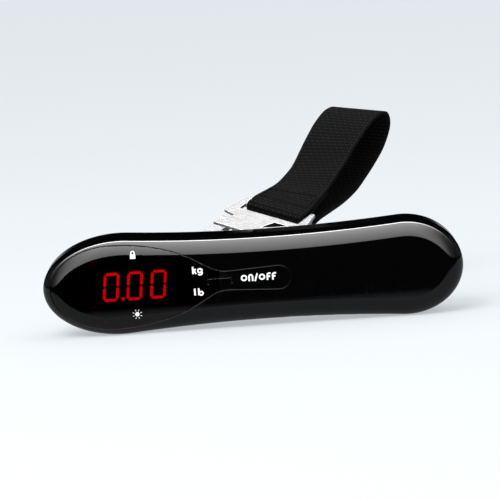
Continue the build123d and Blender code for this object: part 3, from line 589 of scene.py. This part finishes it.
def webbing_path():
    """Middle line of the webbing's thickness: tail, top bar, back, loop, front, hook bar and tail."""
    back_end = back_start + heading(BACK_TURN) * BACK_RUN
    front_end = front_start + heading(FRONT_TURN) * FRONT_RUN
    loop = [back_end] + [Vector(spot) for spot in LOOP_KNOTS] + [front_end]
    path = [tail_meet + heading(BACK_TURN) * TAIL_RUN]
    path += smooth_run([tail_meet, tail_start], heading(BACK_TURN) * -1, heading(BACK_TAIL_TURN) * -1)
    path += arc(Vector((0, 0)), BACK_TAIL_TURN + pi / 2, BACK_TURN + 3 * pi / 2, WRAP_RADIUS)[1:]
    path += smooth_run(loop, heading(BACK_TURN), heading(FRONT_TURN) * -1)
    path += arc(hook_spot, FRONT_TURN + pi / 2, FRONT_TAIL_TURN + 3 * pi / 2, HOOK_WRAP_RADIUS)
    path += smooth_run([hook_tail, hook_meet], heading(FRONT_TAIL_TURN), heading(FRONT_TURN))[1:]
    path.append(hook_meet + heading(FRONT_TURN) * TAIL_RUN)
    return path


def resampled(path, step):
    """The same line at even steps, with its length at each point."""
    flat = np.array([tuple(p) for p in path])
    lengths = np.concatenate([[0], np.cumsum(np.linalg.norm(np.diff(flat, axis=0), axis=1))])
    count = int(lengths[-1] / step)
    wanted = np.linspace(0, lengths[-1], count)
    return np.column_stack([np.interp(wanted, lengths, flat[:, k]) for k in (0, 1)]), wanted


def in_space(l, n, across, on_front):
    """A place on the strap: along it, out of its plane, and across its width, which twists up the loop."""
    angles = FRONT_TWIST if on_front else BACK_TWIST
    twist = radians(float(np.interp(l, TWIST_PLACES, angles)))
    width_way = ACROSS * cos(twist) - FACING * sin(twist)
    return (top_bar + ALONG * l + FACING * n + width_way * across) * MM


def weave_height(s, u):
    """How far the weave stands up at a length and a place across: pillows that alternate up and down."""
    edge = WEBBING_WIDTH / 2 - abs(u)
    over = sin(pi * s / CELL_ALONG) * sin(pi * u / CELL_ACROSS)
    pillow = sqrt(abs(sin(pi * s / CELL_ALONG))) * sqrt(abs(sin(pi * u / CELL_ACROSS)))
    crest = pillow * (0.88 if over > 0 else 1.0)
    if edge < SELVEDGE:
        crest = 0.8 * sqrt(abs(sin(pi * s / (CELL_ALONG / 2))))
    return crest


def webbing_loop(mat):
    """The strap's webbing as one closed mesh, with its weave raised in the mesh."""
    line, lengths = resampled(webbing_path(), PATH_STEP)
    ways = np.gradient(line, axis=0)
    ways /= np.linalg.norm(ways, axis=1)[:, None]
    half = WEBBING_WIDTH / 2
    across = np.concatenate([[-half], np.linspace(-half + EDGE_ROUND, half - EDGE_ROUND, COLUMNS), [half]])
    rows = len(across)
    points, crests, faces = [], [], []
    furthest = int(np.argmax(line[:, 0]))
    for row, ((l, n), (way_l, way_n), s) in enumerate(zip(line, ways, lengths)):
        for side in (1, -1):
            for u in across if side > 0 else across[::-1]:
                rounded = EDGE_SHARE if abs(u) == half else 1.0
                crest = weave_height(s + (CELL_ALONG / 2 if side < 0 else 0), u)
                lift = side * ((WEBBING_THICK / 2 - CREST) * rounded + CREST * crest * rounded)
                points.append(in_space(l - way_n * lift, n + way_l * lift, u, row > furthest))
                crests.append(crest)
    ring = 2 * rows
    for i in range(len(line) - 1):
        for k in range(ring):
            m = (k + 1) % ring
            faces.append((i * ring + k, i * ring + m, (i + 1) * ring + m, (i + 1) * ring + k))
    faces.append(tuple(reversed(range(ring))))
    faces.append(tuple(range((len(line) - 1) * ring, len(line) * ring)))
    mesh = bpy.data.meshes.new("webbing_loop")
    mesh.from_pydata(points, [], faces)
    mesh.shade_smooth()
    attribute = mesh.attributes.new("crest", "FLOAT", "POINT")
    attribute.data.foreach_set("value", crests)
    mesh.materials.append(mat)
    mesh.validate()
    piece = bpy.data.objects.new("webbing_loop", mesh)
    bpy.context.scene.collection.objects.link(piece)
    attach(piece, "strap_loop")
    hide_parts("webbing_strap")


def stitch(points, faces, centre, along, out, rings=7, spokes=8):
    """One thread stitch: a bowed, round-ended capsule that dips into the webbing at both ends."""
    first = len(points)
    side = along.cross(out)
    for i in range(rings):
        t = i / (rings - 1) * 2 - 1
        thick = STITCH_RADIUS * sqrt(max(1 - t**6, 0.04))
        middle = centre + along * (t * STITCH_LENGTH / 2) + out * (0.18 * (1 - t * t) - 0.06)
        for k in range(spokes):
            angle = 2 * pi * k / spokes
            points.append(middle + side * (thick * cos(angle)) + out * (thick * sin(angle)))
    for i in range(rings - 1):
        for k in range(spokes):
            m = (k + 1) % spokes
            a, b = first + i * spokes, first + (i + 1) * spokes
            faces.append((a + k, b + k, b + m, a + m))
    faces.append(tuple(first + k for k in range(spokes)))
    last = first + (rings - 1) * spokes
    faces.append(tuple(last + k for k in reversed(range(spokes))))


def strap_stitching(mat):
    """Rows of stitches across both sewn tails and down their sides, on each outer face."""
    points, faces = [], []
    seams = [
        (back_start, BACK_TURN, -1, [5.0, 8.5, 12.0]),
        (front_start, FRONT_TURN, 1, [4.5, 8.0, 11.5]),
    ]
    for start, turn, side, reaches in seams:
        way, out = heading(turn), square_to(turn) * side
        along = ALONG * way.x + FACING * way.y
        outward = ALONG * out.x + FACING * out.y
        skin = start + out * (WEBBING_THICK / 2 + 0.02)
        for reach in reaches:
            spot = skin + way * reach
            for step in range(STITCHES_IN_ROW):
                u = STITCH_PITCH * (step - (STITCHES_IN_ROW - 1) / 2)
                centre = in_space(spot.x, spot.y, u, side > 0) / MM
                stitch(points, faces, centre, ACROSS, outward)
        for u in (-SEAM_HALF_WIDTH, SEAM_HALF_WIDTH):
            for reach in np.arange(reaches[0] + STITCH_LENGTH / 2, reaches[-1], STITCH_PITCH):
                spot = skin + way * reach
                centre = in_space(spot.x, spot.y, u, side > 0) / MM
                stitch(points, faces, centre, along, outward)
    mesh = bpy.data.meshes.new("strap_stitching")
    mesh.from_pydata([p * MM for p in points], [], faces)
    mesh.shade_smooth()
    mesh.materials.append(mat)
    piece = bpy.data.objects.new("strap_stitching", mesh)
    bpy.context.scene.collection.objects.link(piece)
    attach(piece, "strap_loop")
    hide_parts("strap_stitches")


# ---------------------------------------------------------------- stage
def pale_floor():
    """A wide pale floor. Mirrored in the case it shows only close by, and dimmed there: for mirrored rays it
    is mixed with black, a painted dark reflection standing in for a flagged-off studio table.
    """
    mesh = bpy.data.meshes.new("floor")
    size = 9.0
    height = shell_low.z
    corners = [(-size, -size, height), (size, -size, height), (size, size, height), (-size, size, height)]
    mesh.from_pydata(corners, [], [(0, 1, 2, 3)])
    floor = bpy.data.objects.new("floor", mesh)
    bpy.context.scene.collection.objects.link(floor)
    mat, tree, shader = make_material("floor_paper")
    shader.inputs["Roughness"].default_value = 0.9
    shader.inputs["Specular IOR Level"].default_value = 0.0
    grain = noise(tree, place(tree), 900.0, 3.0)
    paper = ramp(tree, grain, [(0.3, (0.42, 0.435, 0.445)), (0.7, (0.44, 0.45, 0.46))])
    tree.links.new(paper, shader.inputs["Base Color"])
    shader.inputs["Emission Color"].default_value = (0.94, 0.97, 1.0, 1)
    shader.inputs["Emission Strength"].default_value = 0.45
    # painted reflection: mirrored rays see the floor mixed with black, fully further out in front and about
    # three fifths close by
    mirrored = add_node(tree, "ShaderNodeLightPath").outputs["Is Glossy Ray"]
    front = add_node(tree, "ShaderNodeSeparateXYZ", in0=place(tree)).outputs["Y"]
    far = add_node(tree, "ShaderNodeMapRange", Value=front)
    far.inputs["From Min"].default_value = -0.085
    far.inputs["From Max"].default_value = -0.060
    far.inputs["To Min"].default_value = 1.0
    far.inputs["To Max"].default_value = 0.62
    share = maths(tree, "MULTIPLY", mirrored, far.outputs[0])
    black = add_node(tree, "ShaderNodeBsdfDiffuse", Color=(0, 0, 0, 1))
    mixed = add_node(tree, "ShaderNodeMixShader", in0=share, in1=shader.outputs[0], in2=black.outputs[0])
    tree.links.new(mixed.outputs[0], tree.nodes["Material Output"].inputs["Surface"])
    mesh.materials.append(mat)


SOFTBOX_POWER = 40.0
SOFTBOX_STOPS = [  # share of the half turn from the front horizon overhead to the back, and the glow there
    (0.0, 0.0),
    (0.018, 0.0),
    (0.030, 0.076),
    (0.30, 0.136),
    (0.535, 0.188),
    (0.54, 1.0),
    (0.556, 1.0),
    (0.562, 0.0),
]


def studio_world():
    """Even pale fill, and for mirrored rays one tall softbox from the front to overhead with side strips."""
    world = bpy.data.worlds.new("studio")
    bpy.context.scene.world = world
    world.use_nodes = True
    tree = world.node_tree
    tree.nodes.clear()
    way = add_node(tree, "ShaderNodeTexCoord").outputs["Generated"]
    split = add_node(tree, "ShaderNodeSeparateXYZ", in0=way)
    back = maths(tree, "MULTIPLY", split.outputs["Y"], -1.0)
    lift = maths(tree, "ARCTAN2", split.outputs["Z"], back)
    share = maths(tree, "DIVIDE", lift, pi)
    box_light = ramp(tree, share, SOFTBOX_STOPS)
    sideways = maths(tree, "ABSOLUTE", split.outputs["X"])
    middle = ramp(tree, sideways, [(0.0, 1.0), (0.25, 0.94), (0.5, 0.55), (0.75, 0.10), (0.95, 0.0)])
    strips = ramp(tree, sideways, [(0.0, 0.0), (0.62, 0.0), (0.78, 0.035), (0.97, 0.05), (1.0, 0.03)])
    box_light = maths(tree, "MULTIPLY", maths(tree, "MULTIPLY", box_light, middle), SOFTBOX_POWER)
    above = maths(tree, "GREATER_THAN", split.outputs["Z"], 0.05)
    strips = maths(tree, "MULTIPLY", maths(tree, "MULTIPLY", strips, above), 3.0)
    power = maths(tree, "ADD", box_light, strips)
    mirrored = add_node(tree, "ShaderNodeLightPath").outputs["Is Glossy Ray"]
    studio = add_node(tree, "ShaderNodeBackground", in0=(1, 1, 1, 1), in1=power)
    fill = add_node(tree, "ShaderNodeBackground", in0=(0.92, 0.965, 1.0, 1), in1=0.85)
    mixed = add_node(tree, "ShaderNodeMixShader", in0=mirrored, in1=fill.outputs[0], in2=studio.outputs[0])
    out = add_node(tree, "ShaderNodeOutputWorld", in0=mixed.outputs[0])
    out.is_active_output = True


def soft_light(name, place_mm, aim_mm, size, power, seen=False, only=None):
    """A square soft light; a light for some pieces only is linked to their collection."""
    data = bpy.data.lights.new(name, "AREA")
    data.size = size
    data.energy = power
    lamp = bpy.data.objects.new(name, data)
    bpy.context.scene.collection.objects.link(lamp)
    lamp.location = Vector(place_mm) * MM
    lamp.rotation_mode = "QUATERNION"
    lamp.rotation_quaternion = (Vector(aim_mm) - Vector(place_mm)).to_track_quat("-Z", "Y")
    lamp.visible_glossy = seen
    if only:
        lamp.light_linking.receiver_collection = only


def front_camera():
    """A long lens from the front, a little above, rolled so that the handle rises to the right."""
    elevation, roll = radians(6.75), radians(3.94)
    distance, view_height = 1.1, 0.179
    aim = Vector((-0.0005, 0, 0.0087))
    back = Vector((0, -cos(elevation), sin(elevation)))
    level_up = Vector((0, sin(elevation), cos(elevation)))
    level_right = Vector((1, 0, 0))
    right = level_right * cos(roll) - level_up * sin(roll)
    up = level_right * sin(roll) + level_up * cos(roll)
    data = bpy.data.cameras.new("camera")
    data.sensor_width = 36.0
    data.lens = data.sensor_width * distance / view_height
    data.clip_start, data.clip_end = 0.05, 30.0
    camera = bpy.data.objects.new("camera", data)
    bpy.context.scene.collection.objects.link(camera)
    turned = Matrix((right, up, back)).transposed().to_4x4()
    camera.matrix_world = Matrix.Translation(aim + back * distance) @ turned
    bpy.context.scene.camera = camera


# ---------------------------------------------------------------- dressing the CAD nodes
black = piano_black()
bright = bright_plate()
steel = moulded("zinc_steel", (0.42, 0.42, 0.43), (0.58, 0.58, 0.57), 0.32, 1.0)
alloy = moulded("machined_alloy", (0.58, 0.59, 0.60), (0.72, 0.73, 0.74), 0.30, 1.0)
nylon = moulded("bush_nylon", (0.012, 0.012, 0.013), (0.022, 0.022, 0.024), 0.45)
rubber = moulded("seal_rubber", (0.008, 0.008, 0.008), (0.016, 0.016, 0.016), 0.75)
component = moulded("component_black", (0.006, 0.006, 0.0065), (0.014, 0.014, 0.015), 0.5)
ceramic = moulded("small_ceramic", (0.22, 0.16, 0.10), (0.36, 0.28, 0.2), 0.4)
film = moulded("gauge_film", (0.45, 0.26, 0.06), (0.62, 0.38, 0.12), 0.3)
sleeve_red = moulded("wire_sleeve", (0.22, 0.012, 0.012), (0.33, 0.02, 0.02), 0.4)
plating = moulded("contact_plating", (0.55, 0.54, 0.50), (0.72, 0.71, 0.67), 0.25, 1.0)
unlit = moulded("unlit_segment", (0.010, 0.004, 0.004), (0.016, 0.006, 0.006), 0.5)

finishes = {
    "front_shell": black,
    "rear_shell": black,
    "battery_cover": black,
    "power_button": black,
    "display_lens": smoked_lens(),
    "lens_gasket": rubber,
    "case_screws": steel,
    "pcb_screws": steel,
    "load_cell_screws": steel,
    "load_cell_plate": steel,
    "eye_washer": steel,
    "eye_nut": steel,
    "main_pcb": solder_mask(),
    "led_display": component,
    "control_chip": component,
    "tact_switch": component,
    "tact_plunger": component,
    "segments_lit": glowing("segment_red", (1.0, 0.16, 0.22), 4.4),
    "segments_off": unlit,
    "indicator_leds": glowing("indicator_white", (0.9, 0.9, 0.85), 0.15),
    "smd_parts": ceramic,
    "load_cell": alloy,
    "strain_gauges": film,
    "eye_bush": nylon,
    "swivel_eye": bright,
    "anchor_plate": bright,
    "hook_plate": bright,
    "batteries": cell_sleeve(),
    "spring_contacts": plating,
    "plate_contacts": plating,
    "cell_wires": sleeve_red,
    "battery_wires": sleeve_red,
}
for name, finish in finishes.items():
    slots = nodes[name].data.materials
    slots.clear()
    slots.append(finish)

surface = case_surface()
lend_normals(surface, ["front_shell", "rear_shell", "battery_cover", "display_lens", "power_button"])
legends(legend_ink_and_glow())
webbing_loop(webbing_nylon())
thread = moulded("stitch_thread", (0.005, 0.005, 0.005), (0.010, 0.010, 0.010), 0.7, 0.0, 2500.0, 0.00002)
thread.node_tree.nodes["Principled BSDF"].inputs["Specular IOR Level"].default_value = 0.03
strap_stitching(thread)

metal_pieces = bpy.data.collections.new("metal_pieces")
bpy.context.scene.collection.children.link(metal_pieces)
for name in ("swivel_eye", "anchor_plate", "hook_plate"):
    metal_pieces.objects.link(nodes[name])

pale_floor()
studio_world()
soft_light("key", (-450, -700, 900), (0, 0, 0), 0.7, 9.0)
soft_light("metal_top", (0, 330, 480), (0, 40, 10), 0.75, 3.0, True, metal_pieces)
soft_light("metal_front", (-100, -500, 300), (0, 40, 10), 0.6, 2.0, True, metal_pieces)
front_camera()
bpy.context.scene.view_settings.view_transform = "Standard"
